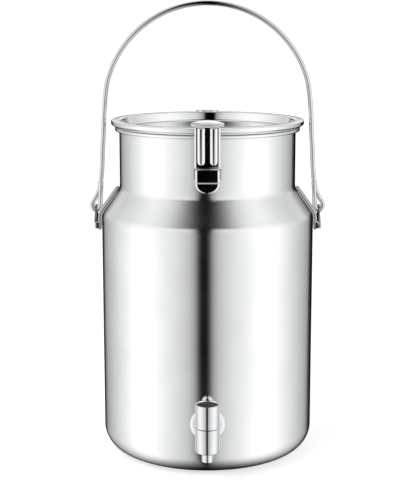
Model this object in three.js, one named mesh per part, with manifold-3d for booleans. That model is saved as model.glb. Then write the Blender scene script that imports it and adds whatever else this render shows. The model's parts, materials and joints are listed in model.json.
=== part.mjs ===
// A stainless steel milk can: a drawn can with a wire bail, a lift-off lid held by
// two toggle latches, and a small turn-cap spigot near the base.
// Millimetres, +Z up, the front (spigot side) faces -Y, origin at the centre of the base.

import * as THREE from 'three';
import { mergeVertices } from 'three/addons/utils/BufferGeometryUtils.js';
import Module from 'manifold-3d';

const wasm = await Module();
wasm.setup();

// ---- driving dimensions ---------------------------------------------------------------

const GAP = 0.3;
const SHEET = 1.0;

const CAN = {
  bodyRadius: 110,
  baseCorner: 24.4,
  shoulderStart: 247,
  shoulderAngle: 55,
  shoulderFillet: 12,
  neckRadius: 91,
  beadRadius: 95.5,
  beadBottom: 336.5,
  beadTop: 340.7,
};

const LID = {
  rimRadius: 99.5,
  skirtRadius: 95.5,
  skirtBottom: 341,
  creaseHeight: 343.6,
  top: 347.8,
  rimInner: 89,
  plugRadius: 86.4,
  floorTop: 338.4,
};

const KNOB = { radius: 17.5, bottom: 340.6, top: 346.8, stemRadius: 6, screwRadius: 2.5 };

const LATCH = {
  pivot: { out: 98, z: 301.2 },
  clawPin: { out: 105, z: 307.3 },
  pinRadius: 1.5,
  holeRadius: 1.8,
  headRadius: 2.5,
  baseHalf: 9.8,
  baseBottom: 291,
  baseTop: 314,
  leverHalf: 11.8,
  leverOut: 109.1,
  leverTop: 309.2,
  leverStep: 296.4,
  leverBottom: 286.2,
  leverTipOut: 111.6,
  clawHalf: 12.5,
  clawBottom: 309.5,
  clawIn: 100.3,
  tongueReach: 90.5,
  ribBottom: 312.4,
  ribTop: 347.4,
  ribCentre: 6.1,
  ribHalf: 3.5,
  ribOut: 103.4,
};

const BAIL = {
  wireRadius: 2.5,
  archRadius: 106.2,
  archCentre: 359.5,
  pivotZ: 253.4,
  hookCentre: 116.1,
  hookRadius: 4.1,
  legLine: [[107.3, 337], [108.7, 316], [110, 292], [112.6, 275], [117.4, 264.8]],
  tipLine: [[111.5, 264, 3], [110.9, 271, 5.2], [110.4, 278, 6.2], [109.9, 285, 6.2]],
};

const EAR = {
  barRadius: 2,
  barOffset: 16,
  barBottom: 235,
  barTop: 278,
  plateThickness: 2.2,
  eyeRadius: 6.2,
  holeRadius: 3.3,
  footZ: 246,
  plateBottom: 236.5,
};

const SPIGOT = {
  axisOut: 146,
  inletZ: 57,
  barrelRadius: 12,
  barrelBottom: 40.2,
  seam: 65,
  capTop: 88.5,
  buttonRadius: 10.4,
  buttonBottom: 87.2,
  nozzleRadius: 5.75,
  nozzleBore: 3.75,
  nozzleBottom: 30.6,
  chamberRadius: 8,
  chamberBottom: 45.7,
  plugRadius: 7.7,
  stemRadius: 4,
  stemTop: 82,
  portRadius: 3.5,
  shankRadius: 7.5,
  shankEnd: 97,
  shoulderRadius: 10,
  flangeRadius: 17.2,
  flangeThickness: 3,
  flangeFlat: 10.4,
  flangeCurve: 10.15,
  gasketOut: 113,
  innerGasketIn: 106.4,
  nutFlats: 24,
  nutThickness: 6,
  leverZ: 84,
  ballOut: 123.6,
  ballRadius: 5.5,
  rodRadius: 2,
};

// ---- materials ------------------------------------------------------------------------

const brushed = { color: 0xc9cbcc, roughness: 0.35, metalness: 1.0 };
const polished = { color: 0xdadcdd, roughness: 0.08, metalness: 1.0 };
const steel = { color: 0xb4b7b9, roughness: 0.25, metalness: 1.0 };
const silicone = { color: 0xe9e8e4, roughness: 0.6, metalness: 0.0 };
const rubber = { color: 0x2b2b2c, roughness: 0.7, metalness: 0.0 };

// ---- shape helpers --------------------------------------------------------------------

const radians = (degrees) => (degrees * Math.PI) / 180;

/** Points on an arc in a profile plane, both ends included. */
function arc(cx, cy, radius, fromDeg, toDeg, steps) {
  const points = [];
  for (let i = 0; i <= steps; i += 1) {
    const a = radians(fromDeg + ((toDeg - fromDeg) * i) / steps);
    points.push([cx + radius * Math.cos(a), cy + radius * Math.sin(a)]);
  }
  return points;
}

function signedVolume(positions, triangles) {
  const [a, b, c] = [new THREE.Vector3(), new THREE.Vector3(), new THREE.Vector3()];
  let sum = 0;
  for (let i = 0; i < triangles.length; i += 3) {
    a.fromArray(positions, 3 * triangles[i]);
    b.fromArray(positions, 3 * triangles[i + 1]);
    c.fromArray(positions, 3 * triangles[i + 2]);
    sum += a.dot(b.cross(c));
  }
  return sum / 6;
}

/** A closed three.js geometry as a manifold solid with its faces pointing out. */
function solid(geometry) {
  geometry.deleteAttribute('normal');
  geometry.deleteAttribute('uv');
  const merged = mergeVertices(geometry, 1e-4);
  const vertProperties = new Float32Array(merged.attributes.position.array);
  const kept = [];
  const index = merged.index.array;
  for (let i = 0; i < index.length; i += 3) {
    const [a, b, c] = [index[i], index[i + 1], index[i + 2]];
    if (a !== b && b !== c && c !== a) kept.push(a, b, c);
  }
  if (signedVolume(vertProperties, kept) < 0) kept.reverse();
  const triVerts = new Uint32Array(kept);
  return new wasm.Manifold(new wasm.Mesh({ numProp: 3, vertProperties, triVerts }));
}

function geometryOf(manifold) {
  const { vertProperties, triVerts } = manifold.getMesh();
  const geometry = new THREE.BufferGeometry();
  geometry.setAttribute('position', new THREE.BufferAttribute(vertProperties, 3));
  geometry.setIndex(new THREE.BufferAttribute(triVerts, 1));
  geometry.computeVertexNormals();
  return geometry;
}

const join = (...pieces) => pieces.reduce((whole, piece) => whole.add(piece));
const cut = (whole, ...tools) => tools.reduce((rest, tool) => rest.subtract(tool), whole);

/** A solid of revolution about Z from (radius, z) points that close on themselves. */
function turned(profile, segments) {
  const points = [...profile, profile[0]].map(([r, z]) => new THREE.Vector2(r, z));
  return solid(new THREE.LatheGeometry(points, segments).rotateX(Math.PI / 2));
}

/** A plain ring or disc about Z. */
function ring(inner, outer, low, high, segments) {
  return turned([[inner, low], [outer, low], [outer, high], [inner, high]], segments);
}

function outline(points) {
  return new THREE.Shape(points.map(([x, y]) => new THREE.Vector2(x, y)));
}

/** A side outline of (out, z) points, carried across X; out is the distance towards -Y. */
function acrossX(points, fromX, toX) {
  const shape = outline(points.map(([out, z]) => [-out, z]));
  const geometry = new THREE.ExtrudeGeometry(shape, { depth: toX - fromX, bevelEnabled: false });
  geometry.applyMatrix4(new THREE.Matrix4().set(
    0, 0, 1, fromX,
    1, 0, 0, 0,
    0, 1, 0, 0,
    0, 0, 0, 1,
  ));
  return solid(geometry);
}

/** A front outline of (x, z) points, carried outwards from one depth to another. */
function outwards(points, fromOut, toOut) {
  const depth = toOut - fromOut;
  const geometry = new THREE.ExtrudeGeometry(outline(points), { depth, bevelEnabled: false });
  return solid(geometry.rotateX(Math.PI / 2).translate(0, -fromOut, 0));
}

/** A plan outline of (x, out) points, carried up Z. */
function upwards(points, low, high) {
  const shape = outline(points.map(([x, out]) => [x, -out]));
  const geometry = new THREE.ExtrudeGeometry(shape, { depth: high - low, bevelEnabled: false });
  return solid(geometry.translate(0, 0, low));
}

/** A round bar along X between two places on it. */
function barX(radius, out, z, fromX, toX, sides = 20) {
  const geometry = new THREE.CylinderGeometry(radius, radius, toX - fromX, sides);
  geometry.rotateZ(Math.PI / 2).translate((fromX + toX) / 2, -out, z);
  return solid(geometry);
}

/** A round bar straight out towards -Y between two distances. */
function barOut(radius, z, fromOut, toOut, sides = 24) {
  const geometry = new THREE.CylinderGeometry(radius, radius, toOut - fromOut, sides);
  return solid(geometry.translate(0, -(fromOut + toOut) / 2, z));
}

/** A wire path that takes the same number of steps between each pair of its points. */
class WirePath extends THREE.CatmullRomCurve3 {
  getUtoTmapping(u) {
    return u;
  }
}

function wire(points, radius, sides, stepsPerSpan) {
  const path = new WirePath(points, false, 'centripetal');
  const section = outline(arc(0, 0, radius, 0, 360 - 360 / sides, sides - 1));
  const steps = (points.length - 1) * stepsPerSpan;
  return solid(new THREE.ExtrudeGeometry(section, { extrudePath: path, steps, bevelEnabled: false }));
}

const root = new THREE.Group();

function addMesh(group, name, manifold, finish) {
  const mesh = new THREE.Mesh(geometryOf(manifold), new THREE.MeshStandardMaterial(finish));
  mesh.name = name;
  group.add(mesh);
  return mesh;
}

// ---- the can --------------------------------------------------------------------------

/** The shoulder between body and neck, offset outwards by a distance, from low to high. */
function shoulder(offset, steps) {
  const { bodyRadius, neckRadius, shoulderStart, shoulderAngle, shoulderFillet } = CAN;
  const turn = 90 - shoulderAngle;
  const lowCentre = bodyRadius - shoulderFillet;
  const highCentre = neckRadius + shoulderFillet;
  const shift = shoulderFillet * Math.cos(radians(turn));
  const lowEdge = lowCentre + shift;
  const highEdge = highCentre - shift;
  const rise = 2 * shoulderFillet * Math.sin(radians(turn));
  const slopeRise = (lowEdge - highEdge) * Math.tan(radians(shoulderAngle));
  const highZ = shoulderStart + rise + slopeRise;
  return [
    ...arc(lowCentre, shoulderStart, shoulderFillet + offset, 0, turn, steps),
    ...arc(highCentre, highZ, shoulderFillet - offset, 180 + turn, 180, steps),
  ];
}

/** The wall's outline at an offset from its outer face, from base centre to mouth. */
function canWall(offset, baseZ, steps) {
  const { bodyRadius, baseCorner, neckRadius, beadBottom } = CAN;
  const corner = arc(bodyRadius - baseCorner, baseCorner, baseCorner + offset, -90, 0, 2 * steps);
  return [[0, baseZ], ...corner, ...shoulder(offset, steps), [neckRadius + offset, beadBottom]];
}

function canShell() {
  const { neckRadius, beadRadius, beadBottom, beadTop, bodyRadius } = CAN;
  const beadHalf = (beadTop - beadBottom) / 2;
  const beadCentre = beadRadius - beadHalf;
  const bead = arc(beadCentre, beadBottom + beadHalf, beadHalf, -90, 90, 4);
  const outer = [...canWall(0, 0, 2), ...bead, [neckRadius - SHEET, beadTop]];
  const inner = canWall(-SHEET, SHEET, 2).slice(0, -1).reverse();
  const shell = turned([...outer, ...inner], 56);
  const hole = barOut(SPIGOT.shankRadius + GAP, SPIGOT.inletZ, bodyRadius - 10, bodyRadius + 10);
  return cut(shell, hole);
}

// ---- the ears that carry the bail -----------------------------------------------------

/** One bar of an ear: up the wall, over the shoulder's edge and up its slope. */
function earBar(offsetY) {
  const lift = EAR.barRadius + GAP;
  const profile = [
    [CAN.bodyRadius + lift, EAR.barBottom],
    [CAN.bodyRadius + lift, (EAR.barBottom + CAN.shoulderStart) / 2],
    ...shoulder(lift, 2).filter(([, z]) => z < EAR.barTop),
  ];
  const points = profile.map(([r, z]) => {
    const x = Math.sqrt(r * r - offsetY * offsetY);
    return new THREE.Vector3(x, offsetY, z);
  });
  return wire(points, EAR.barRadius, 8, 1);
}

/** The upright plate with the eye that the bail's hook passes through. */
function earPlate() {
  const { barOffset, barRadius, footZ, plateBottom, eyeRadius, holeRadius, plateThickness } = EAR;
  const half = barOffset + barRadius;
  const low = BAIL.hookCentre - plateThickness / 2;
  const eye = arc(0, BAIL.pivotZ, eyeRadius, 0, 180, 10);
  const shape = [
    [-half, plateBottom],
    [half, plateBottom],
    [half, footZ - 3],
    ...eye,
    [-half, footZ - 3],
  ];
  const plate = acrossX(shape, low, low + plateThickness);
  return cut(plate, barX(holeRadius, 0, BAIL.pivotZ, low - 2, low + plateThickness + 2, 20));
}

/** The pads that stand the plate off from the two bars. */
function earPad(side) {
  const { barOffset, barRadius, plateBottom, footZ } = EAR;
  const inner = side * (barOffset - barRadius);
  const outer = side * (barOffset + barRadius);
  const [near, far] = [Math.min(inner, outer), Math.max(inner, outer)];
  const low = CAN.bodyRadius + GAP + barRadius / 2;
  const high = BAIL.hookCentre;
  const top = footZ - 3;
  return acrossX([[near, plateBottom], [far, plateBottom], [far, top], [near, top]], low, high);
}

function earRight() {
  const { barOffset } = EAR;
  return join(earPlate(), earBar(barOffset), earBar(-barOffset), earPad(1), earPad(-1));
}

// ---- the bail -------------------------------------------------------------------------

/** The wire's centre line on the right, from the top of the arch down to the hook's tip. */
function bailHalf() {
  const { archRadius, archCentre, hookCentre, hookRadius, pivotZ, legLine, tipLine } = BAIL;
  const hookZ = pivotZ + hookRadius;
  const legX = hookCentre + hookRadius;
  const flat = [
    ...arc(0, archCentre, archRadius, 90, 0, 6),
    ...legLine,
    [legX - 0.4, hookZ + 3.5],
    ...arc(hookCentre, hookZ, hookRadius, 0, -180, 6),
  ];
  return [
    ...flat.map(([x, z]) => new THREE.Vector3(x, 0, z)),
    ...tipLine.map(([x, z, forward]) => new THREE.Vector3(x, -forward, z)),
  ];
}

/** The whole wire, one hook's tip to the other's. */
function bailHandle() {
  const right = bailHalf();
  const left = right.slice(1).map((p) => new THREE.Vector3(-p.x, p.y, p.z));
  return wire([...left.reverse(), ...right], BAIL.wireRadius, 8, 2);
}

// ---- the lid --------------------------------------------------------------------------

function lidShell() {
  const { rimRadius, skirtRadius, skirtBottom, creaseHeight, top, rimInner, plugRadius } = LID;
  const { floorTop } = LID;
  const round = 1.4;
  const rim = arc(rimRadius - round, top - round, round, 0, 90, 2);
  const lip = arc(rimInner + round, top - round, round, 90, 180, 2);
  const outside = [[skirtRadius, skirtBottom], [rimRadius, creaseHeight], ...rim, ...lip];
  const dish = [[plugRadius + 1.2, floorTop + 1.8], [plugRadius - 1.4, floorTop], [0, floorTop]];
  const below = floorTop - SHEET;
  const under = top - SHEET;
  const underside = [
    [0, below],
    [plugRadius - 0.8, below],
    [plugRadius + 2.2, floorTop + 1.2],
    [rimInner + SHEET, under - 1],
    [rimInner + SHEET + 1, under],
    [rimRadius - SHEET - 1, under],
    [rimRadius - SHEET, under - 1],
    [rimRadius - SHEET, creaseHeight],
    [skirtRadius - SHEET, skirtBottom],
  ];
  const shell = turned([...outside, ...dish, ...underside], 48);
  return cut(shell, ring(0, KNOB.screwRadius + GAP, below - 2, floorTop + 2, 20));
}

function lidGasket() {
  const inner = LID.rimInner + 2 * SHEET + GAP;
  const outer = LID.skirtRadius - SHEET - GAP;
  return ring(inner, outer, CAN.beadTop + GAP, LID.top - SHEET - GAP, 48);
}

function lidKnob() {
  const { radius, bottom, top, stemRadius, screwRadius } = KNOB;
  const edge = 2.2;
  const crown = 1.2;
  const dome = [
    [radius - 0.6, bottom],
    [radius, bottom + 0.8],
    [radius, bottom + edge],
    [radius - 1.5, top - crown],
    [radius * 0.6, top - crown * 0.25],
    [radius * 0.3, top],
    [0, top],
  ];
  const under = [[0, LID.floorTop + GAP], [stemRadius, LID.floorTop + GAP], [stemRadius, bottom]];
  const knob = turned([...under, ...dome], 28);
  return cut(knob, ring(0, screwRadius, LID.floorTop - 1, bottom + 3, 20));
}

function knobWasher() {
  const under = LID.floorTop - SHEET - GAP;
  return ring(KNOB.screwRadius + GAP, 8, under - 1.2, under, 28);
}

function knobScrew() {
  const headTop = LID.floorTop - SHEET - GAP - 1.2 - GAP;
  const shaft = KNOB.screwRadius - GAP;
  const head = turned([
    [0, headTop - 3],
    [3, headTop - 3],
    [4.8, headTop - 1.6],
    [4.8, headTop],
    [shaft, headTop],
    [shaft, KNOB.bottom + 2.4],
    [0, KNOB.bottom + 2.4],
  ], 24);
  const slot = upwards([[-6, -0.6], [6, -0.6], [6, 0.6], [-6, 0.6]], headTop - 4, headTop - 1.8);
  return cut(head, slot);
}

// ---- one toggle latch, drawn at the front ---------------------------------------------

function latchBase() {
  const { pivot, baseHalf, baseBottom, baseTop, holeRadius } = LATCH;
  const backOut = CAN.neckRadius + 2.2;
  const round = 3;
  const plateShape = [
    ...arc(baseHalf - round, baseTop - round, round, 0, 90, 3),
    ...arc(round - baseHalf, baseTop - round, round, 90, 180, 3),
    ...arc(round - baseHalf, baseBottom + round, round, 180, 270, 3),
    ...arc(baseHalf - round, baseBottom + round, round, 270, 360, 3),
  ];
  const plate = outwards(plateShape, CAN.neckRadius - 4, backOut);
  const neck = ring(0, CAN.neckRadius + GAP, baseBottom - 5, baseTop + 5, 128);
  const cheekShape = [
    [backOut - 1, pivot.z - 6],
    ...arc(pivot.out, pivot.z, 4, -60, 60, 5),
    [backOut - 1, pivot.z + 6],
  ];
  const cheek = 1.2;
  const left = acrossX(cheekShape, -baseHalf, cheek - baseHalf);
  const right = acrossX(cheekShape, baseHalf - cheek, baseHalf);
  const hole = barX(holeRadius, pivot.out, pivot.z, -20, 20);
  return cut(join(cut(plate, neck), left, right), hole);
}

/** A rivet pin across the latch with a button head at each end. */
function latchPin({ out, z }) {
  const { leverHalf, pinRadius, headRadius } = LATCH;
  const inner = leverHalf + GAP;
  const outer = inner + 1.4;
  const shaft = barX(pinRadius, out, z, -inner - 0.2, inner + 0.2);
  const right = barX(headRadius, out, z, inner, outer);
  const left = barX(headRadius, out, z, -outer, -inner);
  return join(shaft, left, right);
}

function latchLever() {
  const { pivot, clawPin, leverHalf, leverOut, leverTop, leverStep, leverBottom } = LATCH;
  const { leverTipOut, holeRadius } = LATCH;
  const face = 1.2;
  const side = [
    [leverOut - face, leverTop],
    [leverOut, leverTop],
    [leverOut, leverStep],
    [leverTipOut, leverBottom],
    [leverTipOut - face, leverBottom],
    [leverOut - face, leverStep - 0.4],
  ];
  const front = [
    [-leverHalf, leverTop + 4],
    [-leverHalf, leverBottom + 8],
    ...arc(0, leverBottom + 11, leverHalf, 195, 345, 8).map(([x, z]) => [x, Math.max(z, leverBottom)]),
    [leverHalf, leverBottom + 8],
    [leverHalf, leverTop + 4],
  ];
  const flange = [
    [leverOut - 0.2, leverTop],
    [clawPin.out + 1.5, clawPin.z + 2.8],
    [clawPin.out - 1.8, clawPin.z + 2.6],
    [clawPin.out - 2.9, clawPin.z - 0.3],
    [pivot.out - 1.5, pivot.z + 3.0],
    [pivot.out - 3.2, pivot.z],
    [pivot.out - 1.0, pivot.z - 3.2],
    [leverOut - 5, leverStep - 1],
    [leverTipOut - 2, leverBottom + 4],
    [leverTipOut - 0.8, leverBottom + 4],
    [leverOut - 0.2, leverStep],
  ];
  const plate = acrossX(side, -leverHalf, leverHalf).intersect(outwards(front, 90, 120));
  const right = acrossX(flange, leverHalf - face, leverHalf);
  const left = acrossX(flange, -leverHalf, face - leverHalf);
  const holes = [pivot, clawPin].map(({ out, z }) => barX(holeRadius, out, z, -20, 20));
  return cut(join(plate, right, left), ...holes);
}

function latchClaw() {
  const { clawPin, clawHalf, clawBottom, clawIn, tongueReach, holeRadius } = LATCH;
  const { ribBottom, ribTop, ribCentre, ribHalf, ribOut } = LATCH;
  const sheet = 1.2;
  const tongueLow = LID.top + GAP;
  const tongueTop = tongueLow + SHEET;
  const side = [
    [clawIn, clawBottom],
    [clawIn + sheet, clawBottom],
    [clawIn + sheet, tongueTop - 1.2],
    [clawIn + 0.2, tongueTop],
    [tongueReach, tongueTop],
    [tongueReach, tongueLow],
    [clawIn, tongueLow],
  ];
  const round = 7;
  const planEnd = tongueReach + round;
  const plan = [
    [clawHalf, 120],
    [-clawHalf, 120],
    [-clawHalf, planEnd],
    ...arc(round - clawHalf, planEnd, round, 180, 270, 4),
    ...arc(clawHalf - round, planEnd, round, 270, 360, 4),
  ];
  const plate = acrossX(side, -clawHalf, clawHalf).intersect(upwards(plan, 300, 355));
  const knuckleHalf = LATCH.leverHalf - 1.2 - GAP;
  const web = [
    [clawIn, clawBottom],
    [clawPin.out - 2.2, clawPin.z - 0.8],
    [clawPin.out - 1.2, clawPin.z + 2.4],
    [clawIn + sheet, clawBottom + 1.2],
    [clawIn, clawBottom + 1.2],
  ];
  const knuckle = barX(2.6, clawPin.out, clawPin.z, -knuckleHalf, knuckleHalf);
  const ribs = [-1, 1].map((hand) => outwards([
    [hand * ribCentre + ribHalf, ribTop],
    [hand * ribCentre - ribHalf, ribTop],
    ...arc(hand * ribCentre, ribBottom + ribHalf, ribHalf, 180, 360, 8),
  ], clawIn + sheet / 2, ribOut));
  const whole = join(plate, acrossX(web, -knuckleHalf, knuckleHalf), knuckle, ...ribs);
  return cut(whole, barX(holeRadius, clawPin.out, clawPin.z, -20, 20));
}

// ---- the spigot -----------------------------------------------------------------------

/** Moves a solid turned about Z onto the spigot's upright axis. */
const onSpigotAxis = (manifold) => manifold.translate([0, -SPIGOT.axisOut, 0]);

function spigotBody() {
  const { barrelRadius, barrelBottom, seam, nozzleRadius, nozzleBore, nozzleBottom } = SPIGOT;
  const { chamberRadius, chamberBottom, axisOut, inletZ, shankRadius, shankEnd } = SPIGOT;
  const { shoulderRadius, portRadius, flangeThickness, gasketOut } = SPIGOT;
  const top = seam - GAP;
  const barrel = onSpigotAxis(turned([
    [0, nozzleBottom],
    [nozzleRadius, nozzleBottom],
    [nozzleRadius, barrelBottom],
    [barrelRadius - 1.5, barrelBottom],
    [barrelRadius, barrelBottom + 1.5],
    [barrelRadius, top],
    [0, top],
  ], 28));
  const shoulderOut = gasketOut + 2 * GAP + flangeThickness;
  const shank = join(
    barOut(shankRadius, inletZ, shankEnd, axisOut),
    barOut(shoulderRadius, inletZ, shoulderOut, axisOut - barrelRadius - 0.5, 32),
  );
  const chamber = onSpigotAxis(ring(0, chamberRadius, chamberBottom, top + 1, 32));
  const bore = onSpigotAxis(ring(0, nozzleBore, nozzleBottom - 1, chamberBottom + 1, 24));
  const inlet = barOut(portRadius + 1, inletZ, shankEnd - 1, axisOut);
  return cut(join(barrel, shank), chamber, bore, inlet);
}

function spigotPlug() {
  const { plugRadius, chamberBottom, seam, stemRadius, stemTop, portRadius, inletZ } = SPIGOT;
  const low = chamberBottom + GAP;
  const groove = plugRadius - 2;
  const plug = turned([
    [0, low],
    [plugRadius, low],
    [plugRadius, seam - 3.7],
    [groove, seam - 3.7],
    [groove, seam - 1.3],
    [plugRadius, seam - 1.3],
    [plugRadius, seam - 2 * GAP],
    [stemRadius, seam - 2 * GAP],
    [stemRadius, stemTop],
    [0, stemTop],
  ], 24);
  const drop = ring(0, portRadius, low - 1, inletZ, 20);
  const port = barX(portRadius, 0, inletZ, 0, plugRadius + 2);
  const thread = ring(0, 2.5, stemTop - 12, stemTop + 1, 16);
  return onSpigotAxis(cut(plug, drop, port, thread));
}

function spigotSealRing() {
  const { plugRadius, seam } = SPIGOT;
  return onSpigotAxis(ring(plugRadius - 1.7, plugRadius, seam - 3.4, seam - 1.6, 32));
}

function spigotCap() {
  const { barrelRadius, seam, capTop, stemRadius, stemTop, leverZ, rodRadius, axisOut } = SPIGOT;
  const { buttonRadius, buttonBottom } = SPIGOT;
  const low = seam + GAP;
  const bore = stemRadius + GAP;
  const ledge = stemTop + GAP;
  const cap = onSpigotAxis(turned([
    [bore, low],
    [barrelRadius, low],
    [barrelRadius, capTop - 0.6],
    [barrelRadius - 0.6, capTop],
    [buttonRadius + GAP, capTop],
    [buttonRadius + GAP, buttonBottom - GAP],
    [6, buttonBottom - GAP],
    [6, ledge + 2.2],
    [2.6, ledge + 2.2],
    [2.6, ledge],
    [bore, ledge],
  ], 28));
  const socketEnd = axisOut - 7.2;
  return cut(cap, barOut(rodRadius + GAP, leverZ, axisOut - barrelRadius - 2, socketEnd, 16));
}

function spigotCapScrew() {
  const { stemTop } = SPIGOT;
  const seat = stemTop + GAP + 2.2 + GAP;
  const screw = turned([
    [0, stemTop - 10],
    [2.2, stemTop - 10],
    [2.2, seat],
    [5.6, seat],
    [5.6, seat + 1],
    [4.8, seat + 1.8],
    [0, seat + 1.8],
  ], 24);
  const slot = upwards([[-7, -0.6], [7, -0.6], [7, 0.6], [-7, 0.6]], seat + 0.9, seat + 4);
  return onSpigotAxis(cut(screw, slot));
}

/** The black disc that covers the screw in the cap's top. */
function spigotCapButton() {
  const { buttonRadius, buttonBottom, capTop } = SPIGOT;
  return onSpigotAxis(turned([
    [0, buttonBottom],
    [buttonRadius, buttonBottom],
    [buttonRadius, capTop - 0.6],
    [buttonRadius - 0.6, capTop - 0.2],
    [0, capTop - 0.2],
  ], 28));
}

function spigotLeverRod() {
  const { leverZ, rodRadius, axisOut, ballOut, ballRadius } = SPIGOT;
  return barOut(rodRadius, leverZ, ballOut + ballRadius - 2.2, axisOut - 7.2 - GAP, 16);
}

function spigotLeverBall() {
  const { leverZ, rodRadius, ballOut, ballRadius } = SPIGOT;
  const geometry = new THREE.SphereGeometry(ballRadius, 14, 9).translate(0, -ballOut, leverZ);
  const socket = barOut(rodRadius + GAP, leverZ, ballOut + ballRadius - 2.5, ballOut + ballRadius + 2, 16);
  return cut(solid(geometry), socket);
}

function spigotFlange() {
  const { flangeRadius, flangeFlat, flangeCurve, flangeThickness } = SPIGOT;
  const { shankRadius, inletZ, gasketOut } = SPIGOT;
  const near = gasketOut + GAP;
  const far = near + flangeThickness;
  const disc = turned([
    [shankRadius + GAP, near],
    [flangeRadius, near],
    ...arc(flangeFlat, far - flangeCurve, flangeCurve, 48, 90, 6),
    [shankRadius + GAP, far],
  ], 36);
  return disc.rotate([90, 0, 0]).translate([0, 0, inletZ]);
}

function spigotOuterGasket() {
  const { flangeRadius, shankRadius, inletZ, gasketOut } = SPIGOT;
  const disc = barOut(flangeRadius - 1, inletZ, 100, gasketOut, 36);
  const wall = ring(0, CAN.bodyRadius + GAP, inletZ - 25, inletZ + 25, 192);
  return cut(disc, wall, barOut(shankRadius + GAP, inletZ, 95, 120));
}

function spigotInnerGasket() {
  const { shankRadius, inletZ, innerGasketIn } = SPIGOT;
  const disc = barOut(13.5, inletZ, innerGasketIn, 112, 36);
  const inside = ring(0, CAN.bodyRadius - SHEET - 2 * GAP, inletZ - 25, inletZ + 25, 192);
  return cut(disc.intersect(inside), barOut(shankRadius + GAP, inletZ, 95, 120));
}

function spigotLockNut() {
  const { nutFlats, nutThickness, shankRadius, inletZ, innerGasketIn } = SPIGOT;
  const far = innerGasketIn - GAP;
  const near = far - nutThickness;
  const corner = nutFlats / 2 / Math.cos(radians(30));
  const hex = barOut(corner, inletZ, near, far, 6);
  return cut(hex, barOut(shankRadius + GAP, inletZ, near - 2, far + 2));
}

// ---- assembly -------------------------------------------------------------------------

addMesh(root, 'can_shell', canShell(), brushed);

const ear = earRight();
addMesh(root, 'ear_right', ear, steel);
addMesh(root, 'ear_left', ear, steel).rotation.z = Math.PI;
addMesh(root, 'bail_handle', bailHandle(), polished);

addMesh(root, 'lid_shell', lidShell(), brushed);
addMesh(root, 'lid_gasket', lidGasket(), silicone);
addMesh(root, 'lid_knob', lidKnob(), polished);
addMesh(root, 'lid_knob_washer', knobWasher(), steel);
addMesh(root, 'lid_knob_screw', knobScrew(), steel);

const latchPieces = [
  ['latch_base', latchBase(), steel],
  ['latch_pivot_pin', latchPin(LATCH.pivot), steel],
  ['latch_lever', latchLever(), polished],
  ['latch_claw_pin', latchPin(LATCH.clawPin), steel],
  ['latch_claw', latchClaw(), polished],
];

for (const [end, angle] of [['front', 0], ['rear', Math.PI]]) {
  const latch = new THREE.Group();
  latch.rotation.z = angle;
  for (const [piece, manifold, finish] of latchPieces) {
    addMesh(latch, `${end}_${piece}`, manifold, finish);
  }
  root.add(latch);
}

addMesh(root, 'spigot_body', spigotBody(), polished);
addMesh(root, 'spigot_flange', spigotFlange(), polished);
addMesh(root, 'spigot_outer_gasket', spigotOuterGasket(), rubber);
addMesh(root, 'spigot_inner_gasket', spigotInnerGasket(), rubber);
addMesh(root, 'spigot_lock_nut', spigotLockNut(), steel);
addMesh(root, 'spigot_plug', spigotPlug(), steel);
addMesh(root, 'spigot_seal_ring', spigotSealRing(), rubber);
addMesh(root, 'spigot_cap', spigotCap(), polished);
addMesh(root, 'spigot_cap_screw', spigotCapScrew(), steel);
addMesh(root, 'spigot_cap_button', spigotCapButton(), rubber);
addMesh(root, 'spigot_lever_rod', spigotLeverRod(), polished);
addMesh(root, 'spigot_lever_ball', spigotLeverBall(), polished);

export default root;
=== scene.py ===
"""The looks of the milk can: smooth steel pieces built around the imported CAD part."""

import json
import math

import bmesh
import bpy
from mathutils import Matrix, Vector


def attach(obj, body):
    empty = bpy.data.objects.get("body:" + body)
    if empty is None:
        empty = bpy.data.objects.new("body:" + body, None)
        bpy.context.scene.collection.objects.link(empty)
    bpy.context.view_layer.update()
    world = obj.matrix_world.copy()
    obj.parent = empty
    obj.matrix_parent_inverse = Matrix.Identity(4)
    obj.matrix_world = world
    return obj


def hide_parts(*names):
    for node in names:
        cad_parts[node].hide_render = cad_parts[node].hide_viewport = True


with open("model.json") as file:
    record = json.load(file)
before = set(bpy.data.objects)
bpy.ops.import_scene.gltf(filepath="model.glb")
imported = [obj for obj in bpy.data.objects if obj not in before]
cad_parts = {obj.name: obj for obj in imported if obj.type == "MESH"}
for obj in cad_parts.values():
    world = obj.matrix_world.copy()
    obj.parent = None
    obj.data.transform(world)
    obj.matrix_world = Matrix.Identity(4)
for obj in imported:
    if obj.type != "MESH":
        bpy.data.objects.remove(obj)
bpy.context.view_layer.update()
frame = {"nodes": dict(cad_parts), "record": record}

MM = 0.001

# ---- driving sizes, in millimetres, as in the CAD part ---------------------------------

GAP = 0.3
SHEET = 1.0
BODY_R = 110.0
BASE_CORNER = 24.4
SHOULDER_Z = 247.0
SHOULDER_ANGLE = 55.0
SHOULDER_FILLET = 12.0
NECK_R = 91.0
BEAD_R = 95.5
BEAD_LOW, BEAD_HIGH = 336.5, 340.7

RIM_R = 99.5
RIM_INNER = 89.0
SKIRT_R, SKIRT_LOW = 95.5, 341.0
CREASE_Z = 343.6
LID_TOP = 347.8
DISH_R = 86.4
FLOOR_Z = 338.4
LID_HOLE_R = 2.8

KNOB_R, KNOB_LOW, KNOB_TOP, KNOB_RISE, KNOB_STEM_R = 17.5, 340.6, 346.8, 3.2, 6.0

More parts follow.
